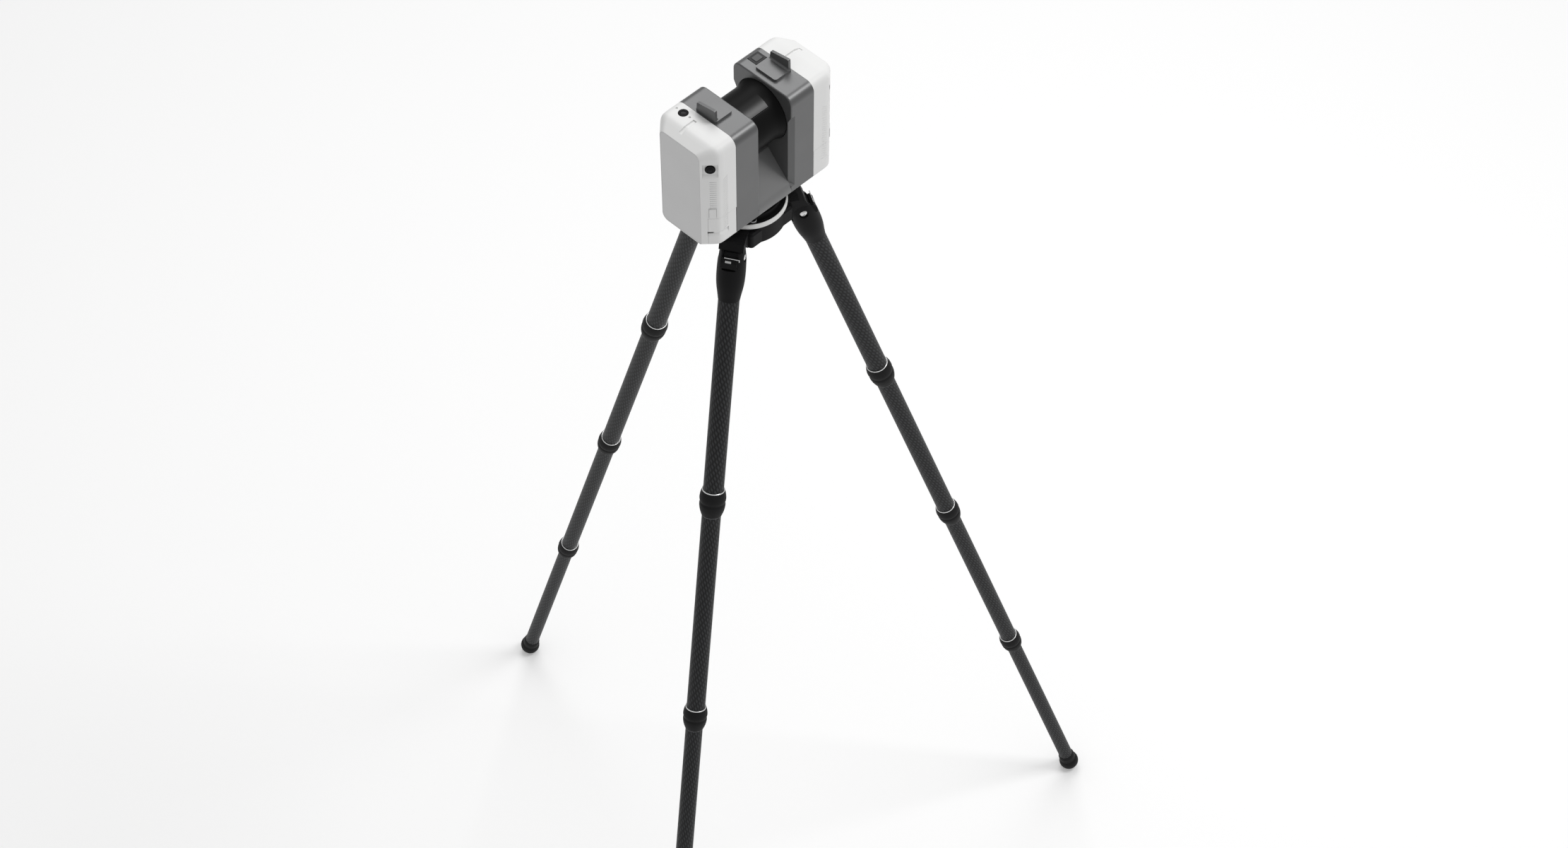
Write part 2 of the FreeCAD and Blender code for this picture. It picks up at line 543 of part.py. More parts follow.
def bevel_frame(along, z, depth=0.0, side=1):
    """Point on the right lobe's tapered side face, and its directions along and out of the face."""
    direction = V(BEVEL_START - END_FACE, -(HALF_WIDTH - PANEL_HALF_WIDTH), 0).normalize()
    outward = V(-direction.y, direction.x, 0)
    point = V(END_FACE, -PANEL_HALF_WIDTH, z) + direction * along - outward * depth
    if side > 0:
        point, direction, outward = [V(v.x, -v.y, v.z) for v in (point, direction, outward)]
    return point, direction, outward


def on_bevel(corners, along, side):
    """Cutter on the tapered face: corners are (depth into the face, height), swept along it."""
    start, direction, outward = bevel_frame(along[0], 0, 0, side)
    points = [start - outward * depth + V(0, 0, z) for depth, z in corners]
    face = Part.Face(Part.makePolygon(points + points[:1]))
    return face.extrude(direction * (along[1] - along[0]))


def face_details(face):
    """Cutters for one broad side of the right cover: face is -1 for -Y, 1 for +Y."""
    cuts = []
    camera_low, camera_high = BEVEL_CAMERA_Z - 16.5, BEVEL_CAMERA_Z + 9.5
    depth = CAMERA_POCKET_DEPTH
    pocket = [(-1, camera_low), (0, camera_low), (depth, camera_low + 6.5), (depth, camera_high - 0.5),
              (0, camera_high + 1), (-1, camera_high + 1)]
    cuts.append(on_bevel(pocket, (3.7, 25.6), face))
    vent_pitch, vent_depth, vent_height = 4.2, 0.6, 1.3
    for i in range(13):
        z = BODY_BOTTOM + 75.0 + vent_pitch * i
        groove = [(-1, z), (vent_depth, z), (vent_depth, z + vent_height), (-1, z + vent_height)]
        cuts.append(on_bevel(groove, (13.5, 26.0), face))
    rib_pitch, rib_depth = 4.4, 0.25
    for i in range(23):
        groove = block((93.5, 112.0), (-rib_depth, 1.0), (-0.8, 0.8))
        groove.rotate(V(102.5, 0, 0), Y_AXIS, 28)
        groove.translate(V(0, HALF_WIDTH, BODY_BOTTOM + 29.0 + rib_pitch * i))
        cuts.append(groove if face > 0 else groove.mirror(ORIGIN, Y_AXIS))
    return cuts


def door_details():
    """Finger groove across the door and round its corner, and the sunk track of its latch."""
    middle, near_end = BODY_BOTTOM + 22.5, 93.0
    section = [(-1, -5.5), (0, -5.5), (2.0, 0.5), (2.0, 3.0), (0, 4.2), (-1, 4.2)]
    on_side = [(-HALF_WIDTH + depth, middle + z, 0) for depth, z in section]
    side_part = prism(on_side, "x", near_end, BEVEL_START)
    across_door = (DOOR_ALONG_BEVEL - 1, BEVEL_LENGTH)
    bevel_part = on_bevel([(depth, middle + z) for depth, z in section], across_door, -1)
    pinhole = rod_y(1.2, (-HALF_WIDTH - 1, -HALF_WIDTH + 2.1), near_end + 1.0, middle + 3.0)
    low, high = LATCH_Z[0] - 0.3, LATCH_Z[1] + LATCH_TRAVEL + 0.3
    track = [(-1, low), (LATCH_SINK + 0.1, low), (LATCH_SINK + 0.1, high), (-1, high)]
    latch_track = on_bevel(track, (DOOR_ALONG_BEVEL + 1.5, DOOR_ALONG_BEVEL + 12.5), -1)
    return [side_part, bevel_part, pinhole, latch_track]


def door_region(gap, near_edge):
    """Plan area of the battery door on the right lobe's -Y side, as a tall prism."""
    depth = COVER_WALL + 0.6
    outer, direction, outward = bevel_frame(DOOR_ALONG_BEVEL + gap, 0, -6.0, -1)
    inner = bevel_frame(DOOR_ALONG_BEVEL + gap, 0, depth, -1)[0]
    corners = [(outer.x, outer.y, 0), (inner.x, inner.y, 0), (BEVEL_START - 1.2, -HALF_WIDTH + depth, 0),
               (near_edge, -HALF_WIDTH + depth, 0), (near_edge, -HALF_WIDTH - 9, 0),
               (outer.x, -HALF_WIDTH - 9, 0)]
    return prism(corners, "z", BODY_BOTTOM + DOOR_BOTTOM + gap, BODY_BOTTOM + DOOR_HEIGHT - gap)


def door_latch(side):
    """Slider above the battery door."""
    low, high = LATCH_Z
    along = (DOOR_ALONG_BEVEL + 1.8, DOOR_ALONG_BEVEL + 12.2)
    proud = 0.6
    latch = on_bevel([(LATCH_SINK, low), (LATCH_SINK, high), (-proud, high), (-proud, low)], along, -1)
    return latch if side > 0 else mirrored_x(latch)


def sight_groove():
    """Groove that starts as a square notch on the cover's top and runs out down its slope."""
    half = 3.2
    floor = [(GUIDE_START, -1.8), (106.0, -1.8), (GUIDE_END, -5.4), (GUIDE_END, 5.0), (GUIDE_START, 5.0)]
    points = [V(x, GUIDE_Y - half, BODY_TOP + dz) for x, dz in floor]
    return Part.Face(Part.makePolygon(points + points[:1])).extrude(Y_AXIS * (2 * half))


def cover_and_door(side):
    shell = cover_form(0.0, SEAM, END_FACE)
    shell = shell.cut(cover_form(COVER_WALL, SEAM - 1, END_FACE - COVER_WALL))
    seat_low, seat_high = BEVEL_CAMERA_Z - 19.0, BEVEL_CAMERA_Z + 12.0
    for face in (-1, 1):
        seat = [(1, seat_low), (6, seat_low), (6, seat_high), (1, seat_high)]
        shell = shell.fuse(on_bevel(seat, (2.5, 26.0), face))
    shell = shell.cut(prism(panel_corners(0.15), "x", END_FACE - COVER_WALL - 1, END_FACE + 1))
    cuts = face_details(-1) + face_details(1) + door_details()
    cuts.append(sight_groove())
    if side < 0:
        x, y = -TOP_CAMERA[0], TOP_CAMERA[1]
        cuts.append(rod(CAMERA_RADIUS + 0.3, (BODY_TOP - 1.6, BODY_TOP + 5), x, y))
        for offset in (-12.6, 13.4):
            cuts.append(rod(1.8, (BODY_TOP - 1.6, BODY_TOP + 5), x, y + offset))
    for cut in cuts:
        shell = shell.cut(cut)
    bead = rod(HINGE_RADIUS, (BODY_BOTTOM + DOOR_BOTTOM + DOOR_GAP, BODY_BOTTOM + DOOR_HEIGHT - DOOR_GAP),
               HINGE_X, HINGE_Y)
    door = fuse_all([shell.common(door_region(DOOR_GAP, HINGE_X)), bead])
    cover = solid_of(shell.cut(door_region(0.0, SEAM - 1.0)))
    return (cover, door) if side > 0 else (mirrored_x(cover), mirrored_x(door))


def end_plate(side):
    plate = prism(panel_corners(0.0), "x", END_FACE - COVER_WALL, END_FACE)
    plate = rounded_at_x(plate, END_FACE, PANEL_EDGE_RADIUS)
    return plate if side > 0 else mirrored_x(plate)


def display_panel():
    plate = end_plate(1)
    window = prism([(-29, DRUM_Z - 48, 3), (29, DRUM_Z - 48, 3), (29, DRUM_Z + 34, 3), (-29, DRUM_Z + 34, 3)],
                   "x", END_FACE - 0.8, END_FACE + 1)
    return solid_of(plate.cut(window))


def camera_windows():
    """Dark windows of the positioning cameras: one on top, one on each tapered corner."""
    windows = [rod(CAMERA_RADIUS, (BODY_TOP - 1.6, BODY_TOP - 0.3), *TOP_CAMERA)]
    for lobe in (-1, 1):
        for face in (-1, 1):
            point, _, outward = bevel_frame(14.6, BEVEL_CAMERA_Z, CAMERA_POCKET_DEPTH, face)
            window = Part.makeCylinder(CAMERA_RADIUS, CAMERA_POCKET_DEPTH - 1.0, point, outward)
            windows.append(window if lobe > 0 else mirrored_x(window))
    return Part.makeCompound(windows)


def accessory_brackets():
    """Two L-shaped holders on top of the lobes, each a plate with an upright outer lip."""
    half_length, centre_y = 20.5, 3.5
    low, high = centre_y - half_length, centre_y + half_length
    inner, outer, lip_start, plate_top = 42.0, 74.5, 70.0, BODY_TOP + 4.0
    corners = [(inner, low, 4), (outer, low, 2.5), (outer, high, 2.5), (inner, high, 4)]
    plate = prism(corners, "z", BODY_TOP, plate_top)
    lip = prism([(low + 2, BODY_TOP, 0), (high - 2, BODY_TOP, 0), (high - 3, BODY_TOP + 16, 2),
                 (low + 2.5, BODY_TOP + 22, 2)], "x", lip_start, outer)
    bracket = fuse_all([plate, lip])
    foot = [edge for edge in edges_at(bracket, "X", lip_start) if abs(edge.BoundBox.ZMax - plate_top) < 1e-4]
    bracket = bracket.makeFillet(3.0, foot)
    return Part.makeCompound([bracket, mirrored_x(bracket)])


def power_button():
    x, y = BUTTON_CENTRE
    a, b = BUTTON_HALF
    cap = prism([(x - a, y - b, 3), (x + a, y - b, 3), (x + a, y + b, 3), (x - a, y + b, 3)],
                "z", BODY_TOP - HOUSING_WALL, BODY_TOP + BUTTON_PROUD)
    a, b = a - 3.5, b - 3.5
    raised = prism([(x - a, y - b, 1.5), (x + a, y - b, 1.5), (x + a, y + b, 1.5), (x - a, y + b, 1.5)],
                   "z", BODY_TOP, BODY_TOP + BUTTON_PROUD + 0.5)
    return fuse_all([cap, raised])


# ---- mirror drum and its drive ----------------------------------------------
MIRROR_TILT = 45.0
MIRROR_THICKNESS = 5.0
SPINDLE_X = (GAP_HALF + RECESS_DEPTH + HOUSING_WALL + 2.0, SEAM + 8.0)


def mirror_drum():
    """Hollow drum: beam enters along the axis from the left and leaves through the side window."""
    shell = rod_x(DRUM_RADIUS, (-DRUM_HALF_LENGTH, FLARE[1][0]))
    flare = barrel([(x, DRUM_RADIUS + rise) for x, rise in FLARE])
    flare.rotate(ORIGIN, Y_AXIS, -90)
    flange = rod_x(FLANGE_RADIUS, (FLARE[-1][0], GAP_HALF + RECESS_DEPTH - 1.5))
    rim = rod_x(FLANGE_RADIUS - 1.4, (-GAP_HALF - RECESS_DEPTH + 1.5, -DRUM_HALF_LENGTH + 6))
    drum = fuse_all([shell, flare, flange, rim])
    inside = rod_x(DRUM_RADIUS - 3.5, (-FAR, DRUM_HALF_LENGTH - 3))
    window = block((-DRUM_HALF_LENGTH + 9, DRUM_HALF_LENGTH - 12), (-30, 30), (-FAR, 0))
    window.rotate(ORIGIN, X_AXIS, 35)
    drum = drum.cut(inside).cut(window).cut(rod_x(SHAFT_RADIUS, (0, FAR)))
    drum.translate(V(0, 0, DRUM_Z))
    return solid_of(drum)


def scan_mirror():
    """Tilted elliptical mirror filling the drum, backed by a short boss on the shaft."""
    slab = block((-MIRROR_THICKNESS, 0), (-FAR, FAR), (-FAR, FAR))
    slab.rotate(ORIGIN, Y_AXIS, -MIRROR_TILT)
    slab.translate(V(4, 0, 0))
    disc = slab.common(rod_x(DRUM_RADIUS - 3.5 - 0.05, (-FAR, DRUM_HALF_LENGTH - 3.1)))
    disc = disc.common(block((-DRUM_HALF_LENGTH + 3, FAR), (-FAR, FAR), (-FAR, FAR)))
    disc.rotate(ORIGIN, X_AXIS, 35)
    disc.translate(V(0, 0, DRUM_Z))
    return solid_of(disc)


def drum_shaft():
    return rod_x(SHAFT_RADIUS, (DRUM_HALF_LENGTH - 3, SPINDLE_X[1] + 4), 0, DRUM_Z)


def drum_bearings():
    rings = []
    for x in (SPINDLE_X[0] + 1, SPINDLE_X[0] + 21):
        ring = rod_x(13.0, (x, x + 8), 0, DRUM_Z).cut(rod_x(SHAFT_RADIUS + BEARING_PLAY, (0, FAR), 0, DRUM_Z))
        rings.append(ring)
    return Part.makeCompound(rings)


def drum_motor():
    """Motor case around the spindle, bolted to the right lobe's inner wall."""
    case = rod_x(24.0, (SPINDLE_X[0] - 2.0, SPINDLE_X[1]), 0, DRUM_Z)
    case = case.cut(rod_x(13.0, (SPINDLE_X[0] + 1, SPINDLE_X[1] + 1), 0, DRUM_Z))
    return solid_of(case.cut(rod_x(SHAFT_RADIUS + 1.5, (0, FAR), 0, DRUM_Z)))


def laser_module():
    barrel_x = (-112.0, -GAP_HALF - RECESS_DEPTH + 0.5)
    tube = rod_x(17.0, barrel_x, 0, DRUM_Z)
    box = block((-112, -62), (-30, 30), (DRUM_Z - 26, DRUM_Z + 26))
    return fuse_all([tube, box])


def batteries():
    floor = CHASSIS_BOTTOM + CHASSIS_THICKNESS
    pack = block((83.5, 106), (-53, 12), (floor, floor + 38))
    return Part.makeCompound([pack, mirrored_x(pack)])


# ---- write every node -------------------------------------------------------
def all_nodes():
    left_cover, left_door = cover_and_door(-1)
    right_cover, right_door = cover_and_door(1)
    nodes = {
        "tripod_platform": tripod_platform(),
        "platform_ring": platform_ring(),
        "pivot_bolts": pivot_bolts(),
        "fixing_screw": fixing_screw(),
        "quick_release_adapter": quick_release_adapter(),
        "quick_release_lever": quick_release_lever(),
        "scanner_base": scanner_base(),
        "azimuth_bearing": azimuth_bearing(),
        "chassis": chassis(),
        "bridge_cover": bridge_cover(),
        "left_housing": housing(-1),
        "right_housing": housing(1),
        "left_cover": left_cover,
        "right_cover": right_cover,
        "left_battery_door": left_door,
        "right_battery_door": right_door,
        "left_door_latch": door_latch(-1),
        "right_door_latch": door_latch(1),
        "end_panel": end_plate(-1),
        "display_panel": display_panel(),
        "camera_windows": camera_windows(),
        "accessory_brackets": accessory_brackets(),
        "power_button": power_button(),
        "mirror_drum": mirror_drum(),
        "scan_mirror": scan_mirror(),
        "drum_shaft": drum_shaft(),
        "drum_bearings": drum_bearings(),
        "drum_motor": drum_motor(),
        "laser_module": laser_module(),
        "batteries": batteries(),
    }
    for name, azimuth in LEGS.items():
        nodes.update(leg_pieces(name, azimuth))
    return nodes


os.makedirs("parts", exist_ok=True)
for node, shape in all_nodes().items():
    shape.exportStep("parts/%s.step" % node)
    print("%-24s solids %d  valid %s  volume %.1f cm3" % (
        node, len(shape.Solids), shape.isValid(), shape.Volume / 1000))
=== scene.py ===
"""Looks of a two-lobed laser scanner on a carbon tripod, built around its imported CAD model."""
import json
import math
from functools import partial

import bmesh
import bpy
from mathutils import Matrix, Vector


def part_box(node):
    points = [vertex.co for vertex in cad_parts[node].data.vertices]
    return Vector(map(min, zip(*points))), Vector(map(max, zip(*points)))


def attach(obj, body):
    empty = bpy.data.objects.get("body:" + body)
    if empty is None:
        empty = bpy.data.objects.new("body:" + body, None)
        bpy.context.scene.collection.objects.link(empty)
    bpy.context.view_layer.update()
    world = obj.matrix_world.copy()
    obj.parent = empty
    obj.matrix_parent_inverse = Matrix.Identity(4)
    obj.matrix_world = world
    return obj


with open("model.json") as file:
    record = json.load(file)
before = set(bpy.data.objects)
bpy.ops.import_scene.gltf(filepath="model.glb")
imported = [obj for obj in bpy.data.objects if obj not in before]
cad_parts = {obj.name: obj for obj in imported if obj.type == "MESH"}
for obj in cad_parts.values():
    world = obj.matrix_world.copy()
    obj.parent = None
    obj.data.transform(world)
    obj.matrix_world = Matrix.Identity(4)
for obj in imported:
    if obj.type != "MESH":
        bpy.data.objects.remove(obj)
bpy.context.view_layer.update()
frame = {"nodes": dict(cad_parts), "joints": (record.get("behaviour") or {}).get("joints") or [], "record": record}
NODES = frame["nodes"]
LEGS = ("rear", "right", "left")
LEG_FRAMES = {}                       # leg name to its matrix: leg down -Z, outward +X

# Finishes
SOFT_EDGE, TIGHT_EDGE = 0.0006, 0.0002    # radius that edges seem to have, tight on the grey castings
DRIFT_SCALE = 18                          # slow patches of colour per metre
TUBE_DARK, TUBE_LIGHT = (0.0082, 0.0084, 0.0088), (0.040, 0.041, 0.043)
STRANDS, ROW, LEAN = 22.0, 0.010, 60.0    # lozenges round a tube, row height, columns of lean per metre
DRUM_GREY, LIP_HIGHLIGHT_GREY = 0.0087, 0.022       # the drum, and a thin strip beside its seam painted lighter as a painted highlight
SEAM_ANGLE = 130.0                        # degrees about the drum from +Y where the window ends
WINDOW_SPAN = (-0.0279, 0.0155)           # along the drum
GLOSS_SPAN = (-34.0, -6.0)                # degrees from the seam over which the window's gloss grows

# Added pieces: rings on a twist lock as (name, end of the lock, width and thickness, material)
RINGS = (("top_ring", 1, 0.0014, "bright_steel"), ("end_ring", -1, 0.0008, "dull_metal"))
LEVER_TIP_RADIUS = 0.005

# Studio
FLOOR_HALF = 14.0
FLOOR_GLOW, WORLD_STRENGTH = 0.17, 0.5
LAMP_TARGET = Vector((0, 0, 1.6))
LAMPS = (("overhead", (1.75, 1.75, 4.8), 2.6, 62.0), ("side", (1.9, -1.8, 5.0), 1.6, 68.0))
CAMERA_PLACE, CAMERA_HEADING, CAMERA_PITCH = (-2.4664, -2.5214, 5.2942), 44.76, 49.62
CAMERA_SENSOR, CAMERA_LENS = 36.0, 80.45


# ---- places read from the frame ---------------------------------------------
def node_centre(name):
    low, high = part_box(name)
    return (low + high) / 2


def joint_vector(name, key):
    return Vector(next(joint[key] for joint in frame["joints"] if joint["name"] == name))


def leg_matrix(leg):
    """Frame of a leg: origin at its pivot, -Z down the leg, +X outward."""
    across = joint_vector(leg + "_leg_fold", "axis")
    up = joint_vector(leg + "_extend_1", "axis")
    rotation = Matrix((across.cross(up), across, up)).transposed().to_4x4()
    return Matrix.Translation(joint_vector(leg + "_leg_fold", "pos_m")) @ rotation


def in_leg_frame(leg, node_name):
    """Corner points of a CAD node in its leg's frame."""
    inverse = LEG_FRAMES[leg].inverted()
    return [inverse @ vertex.co for vertex in NODES[node_name].data.vertices]


# ---- materials --------------------------------------------------------------
def new_material(name):
    material = bpy.data.materials.new(name)
    material.use_nodes = True
    tree = material.node_tree
    shader = next(n for n in tree.nodes if n.type == "BSDF_PRINCIPLED")
    return material, tree, shader


def node(tree, kind, **values):
    """Shader node; each value sets a property or, where there is none, an input."""
    made = tree.nodes.new(kind)
    for key, value in values.items():
        if hasattr(made, key):
            setattr(made, key, value)
        else:
            made.inputs[key.replace("_", " ")].default_value = value
    return made


def maths(tree, operation, a, b=None):
    """Math node on numbers or sockets."""
    made = node(tree, "ShaderNodeMath", operation=operation)
    for socket, value in zip(made.inputs, (a, b)):
        if isinstance(value, (int, float)):
            socket.default_value = value
        elif value is not None:
            tree.links.new(value, socket)
    return made.outputs["Value"]


def object_coordinates(tree, matrix=None):
    """Object coordinates in metres, or in the frame of a matrix."""
    source = node(tree, "ShaderNodeTexCoord").outputs["Object"]
    if matrix is None:
        return source
    moved = node(tree, "ShaderNodeMapping", vector_type="TEXTURE")
    moved.inputs["Location"].default_value = matrix.to_translation()
    moved.inputs["Rotation"].default_value = matrix.to_euler("XYZ")
    tree.links.new(source, moved.inputs["Vector"])
    return moved.outputs["Vector"]


def split_coordinates(tree, vector):
    split = node(tree, "ShaderNodeSeparateXYZ")
    tree.links.new(vector, split.inputs["Vector"])
    return [split.outputs[axis] for axis in "XYZ"]


def grain(tree, shader, vector, scale, strength, edge):
    """Fine bump from noise, with edges that catch light as if rounded to the given radius."""
    noise = node(tree, "ShaderNodeTexNoise", Scale=scale, Detail=3.0, Roughness=0.55)
    bump = node(tree, "ShaderNodeBump", Strength=strength, Distance=0.0002)
    soft_edge = node(tree, "ShaderNodeBevel", samples=6, Radius=edge)
    tree.links.new(vector, noise.inputs["Vector"])
    tree.links.new(noise.outputs["Fac"], bump.inputs["Height"])
    tree.links.new(soft_edge.outputs["Normal"], bump.inputs["Normal"])
    tree.links.new(bump.outputs["Normal"], shader.inputs["Normal"])


def tint(tree, shader, vector, colour, spread, scale):
    """Base colour that drifts a little over the surface."""
    noise = node(tree, "ShaderNodeTexNoise", Scale=scale, Detail=2.0)
    ramp = node(tree, "ShaderNodeValToRGB")
    for element, share, position in zip(ramp.color_ramp.elements, (1 - spread, 1 + spread), (0.35, 0.65)):
        element.color = (*[min(1.0, c * share) for c in colour], 1)
        element.position = position
    tree.links.new(vector, noise.inputs["Vector"])
    tree.links.new(noise.outputs["Fac"], ramp.inputs["Fac"])
    tree.links.new(ramp.outputs["Color"], shader.inputs["Base Color"])


def surface(name, colour, roughness, metallic=0.0, bump=0.15, grain_scale=2600, spread=0.03,
            coat=0.0, specular=0.5, edge=SOFT_EDGE):
    """Painted, moulded or machined surface with fine grain and a slow drift of colour."""
    material, tree, shader = new_material(name)
    shader.inputs["Roughness"].default_value = roughness
    shader.inputs["Metallic"].default_value = metallic
    shader.inputs["Coat Weight"].default_value = coat
    shader.inputs["Coat Roughness"].default_value = 0.12
    shader.inputs["Specular IOR Level"].default_value = specular
    vector = object_coordinates(tree)
    tint(tree, shader, vector, colour, spread, DRIFT_SCALE)
    grain(tree, shader, vector, grain_scale, bump, edge)
    return material


def carbon_material(name, matrix):
    """Satin woven tube: rows of short slanted lozenges around and along the leg."""
    material, tree, shader = new_material(name)
    calc = partial(maths, tree)
    x, y, z = split_coordinates(tree, object_coordinates(tree, matrix))
    turn = calc("DIVIDE", calc("ARCTAN2", y, x), 2 * math.pi)
    column = calc("ADD", calc("MULTIPLY", turn, STRANDS), calc("MULTIPLY", z, LEAN))
    stagger = calc("MULTIPLY", calc("FLOOR", column), 0.5)
    along = calc("ADD", calc("DIVIDE", z, ROW), stagger)
    u, v = [calc("ABSOLUTE", calc("SUBTRACT", calc("FRACT", place), 0.5)) for place in (column, along)]
    from_middle = calc("ADD", calc("MULTIPLY", u, 1.7), calc("MULTIPLY", v, 1.5))
    lozenge = calc("MAXIMUM", calc("SUBTRACT", 1.0, from_middle), 0.0)
    mask = calc("MULTIPLY", lozenge, 1.6)
    ramp = node(tree, "ShaderNodeValToRGB")
    for element, colour in zip(ramp.color_ramp.elements, (TUBE_DARK, TUBE_LIGHT)):
        element.color = (*colour, 1)
    tree.links.new(mask, ramp.inputs["Fac"])
    tree.links.new(ramp.outputs["Color"], shader.inputs["Base Color"])
    bump = node(tree, "ShaderNodeBump", Strength=0.35, Distance=0.0002)
    tree.links.new(mask, bump.inputs["Height"])
    tree.links.new(bump.outputs["Normal"], shader.inputs["Normal"])
    shader.inputs["Roughness"].default_value = 0.5
    shader.inputs["Specular IOR Level"].default_value = 0.15
    shader.inputs["Coat Weight"].default_value = 0.05
    shader.inputs["Coat Roughness"].default_value = 0.35
    return material


def drum_material():
    """Satin black drum with the glossier scanning window, its edge a fine seam along the drum with a painted
    highlight on a thin strip beside it.
    """
    material, tree, shader = new_material("drum_black")
    calc = partial(maths, tree)
    x, y, z = split_coordinates(tree, object_coordinates(tree))
    rise = calc("SUBTRACT", z, node_centre("mirror_drum").z)
    past_seam = calc("SUBTRACT", calc("DEGREES", calc("ARCTAN2", rise, y)), SEAM_ANGLE)
    on_window = calc("MULTIPLY", calc("LESS_THAN", x, WINDOW_SPAN[1]),
                     calc("GREATER_THAN", x, WINDOW_SPAN[0]))

    def strip(middle, half_width):
        """1 on the window within half_width degrees of middle, 0 elsewhere."""
        offset = calc("ABSOLUTE", calc("SUBTRACT", past_seam, middle))
        return calc("MULTIPLY", calc("LESS_THAN", offset, half_width), on_window)

    off_seam = calc("SUBTRACT", 1.0, strip(0.0, 0.55))
    # painted highlight: a thin strip just past the seam, painted lighter than the drum
    lip_highlight = strip(1.1, 0.45)
    grey = calc("ADD", calc("MULTIPLY", off_seam, DRUM_GREY), calc("MULTIPLY", lip_highlight, LIP_HIGHLIGHT_GREY))
    tree.links.new(grey, shader.inputs["Base Color"])
    nearness = node(tree, "ShaderNodeMapRange", interpolation_type="SMOOTHSTEP")
    nearness.inputs["From Min"].default_value, nearness.inputs["From Max"].default_value = GLOSS_SPAN
    tree.links.new(past_seam, nearness.inputs["Value"])
    above = calc("MULTIPLY", calc("LESS_THAN", past_seam, 0), on_window)
    above = calc("MULTIPLY", above, nearness.outputs["Result"])
    shine = calc("ADD", 0.035, calc("MULTIPLY", above, 0.42))
    tree.links.new(calc("MULTIPLY", shine, off_seam), shader.inputs["Specular IOR Level"])
    shader.inputs["Roughness"].default_value = 0.36
    return material


MATERIALS = {
    "grey_housing": surface("grey_paint", (0.125, 0.126, 0.127), 0.36, metallic=0.5, bump=0.1,
                            edge=TIGHT_EDGE),
    # The bridge cover's grey is the housing grey painted lighter: painted light for its slope between the lobes,
    # which gets too little light.
    "grey_bridge_painted_light": surface("grey_bridge_painted_light", (0.185, 0.186, 0.187), 0.45, metallic=0.15, bump=0.1,
                           edge=TIGHT_EDGE),
    "white_cover": surface("white_paint", (0.765, 0.765, 0.76), 0.42, bump=0.05, spread=0.008, specular=0.3),
    "end_grey": surface("end_panel_grey", (0.63, 0.63, 0.63), 0.5, bump=0.08, spread=0.012, specular=0.3),
    "black_casting": surface("black_casting", (0.0062, 0.0062, 0.0066), 0.5, bump=0.3, grain_scale=1500,
                             specular=0.10),
    "black_plastic": surface("black_plastic", (0.010, 0.010, 0.0105), 0.5, bump=0.3, grain_scale=1800,
                             specular=0.15),
    "light_ring": surface("light_ring", (0.72, 0.72, 0.71), 0.35, bump=0.05, spread=0.01),
    "bright_steel": surface("bright_steel", (0.75, 0.75, 0.75), 0.25, metallic=1.0, bump=0.05),
    "folded_plate": surface("folded_plate", (0.62, 0.62, 0.62), 0.38, metallic=1.0, bump=0.05),
    "dull_metal": surface("dull_metal", (0.32, 0.32, 0.33), 0.4, metallic=0.9, bump=0.05),
    "button_frame": surface("button_frame", (0.034, 0.034, 0.035), 0.5, bump=0.15, specular=0.2),
    "button_pad": surface("button_pad", (0.085, 0.085, 0.086), 0.5, bump=0.15, specular=0.3),
    "label_grey": surface("label_grey", (0.45, 0.45, 0.45), 0.45, bump=0.05),
    "display": surface("display_frame", (0.03, 0.03, 0.032), 0.4, bump=0.1, specular=0.3),
    "screen_glass": surface("screen_glass", (0.012, 0.013, 0.015), 0.08, bump=0.0, coat=0.6),
    "camera_glass": surface("camera_glass", (0.003, 0.003, 0.0035), 0.4, bump=0.0, specular=0.05),
    "lens_glass": surface("lens_glass", (0.002, 0.002, 0.003), 0.15, bump=0.0, specular=0.12),
    "drum_black": drum_material(),
    "mirror": surface("mirror", (0.9, 0.9, 0.88), 0.03, metallic=1.0, bump=0.0, spread=0.0),
    "aluminium": surface("aluminium", (0.55, 0.55, 0.56), 0.35, metallic=1.0),
    "bearing_steel": surface("bearing_steel", (0.5, 0.5, 0.5), 0.25, metallic=1.0),
    "motor_case": surface("motor_case", (0.05, 0.05, 0.055), 0.4, metallic=0.6),
    "battery_case": surface("battery_case", (0.06, 0.06, 0.065), 0.5),
    "rubber_black": surface("rubber_black", (0.0085, 0.0085, 0.0088), 0.6, bump=0.3, grain_scale=2200,
                            specular=0.15),
}
# The bridge cover takes the lighter grey with painted light; the power button takes its dark frame colour.
OWN_LOOKS = {"power_button": "button_frame", "bridge_cover": "grey_bridge_painted_light"}


def dress_frame():
    """Give every CAD node its material: its own, its leg's carbon, or its slot's."""
    slots = {entry["node"]: entry["material_slot"] for entry in frame["record"]["subparts"]}
    for leg in LEGS:
        LEG_FRAMES[leg] = leg_matrix(leg)
        MATERIALS["carbon_" + leg] = carbon_material("carbon_" + leg, LEG_FRAMES[leg])
    for name, obj in NODES.items():
        key = OWN_LOOKS.get(name, slots[name])
        if key == "carbon":
            key = "carbon_" + name.split("_")[0]
        obj.data.materials.clear()
        obj.data.materials.append(MATERIALS[key])


# ---- pieces added to the CAD model ------------------------------------------
def add_piece(name, verts, faces, material, body, bevel=0.0):
    """Mesh piece in the row frame that rides on a body; verts are in metres."""
    mesh = bpy.data.meshes.new(name)
    mesh.from_pydata(verts, [], faces)
    sorter = bmesh.new()
    sorter.from_mesh(mesh)
    bmesh.ops.recalc_face_normals(sorter, faces=sorter.faces)
    sorter.to_mesh(mesh)
    sorter.free()
    mesh.materials.append(MATERIALS[material])
    mesh.shade_smooth()
    mesh.set_sharp_from_angle(angle=math.radians(35))
    piece = bpy.data.objects.new(name, mesh)
    bpy.context.scene.collection.objects.link(piece)
    if bevel:
        rounding = piece.modifiers.new("edges", "BEVEL")
        rounding.width, rounding.segments, rounding.limit_method = bevel, 3, "ANGLE"
        rounding.harden_normals = True
    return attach(piece, body)


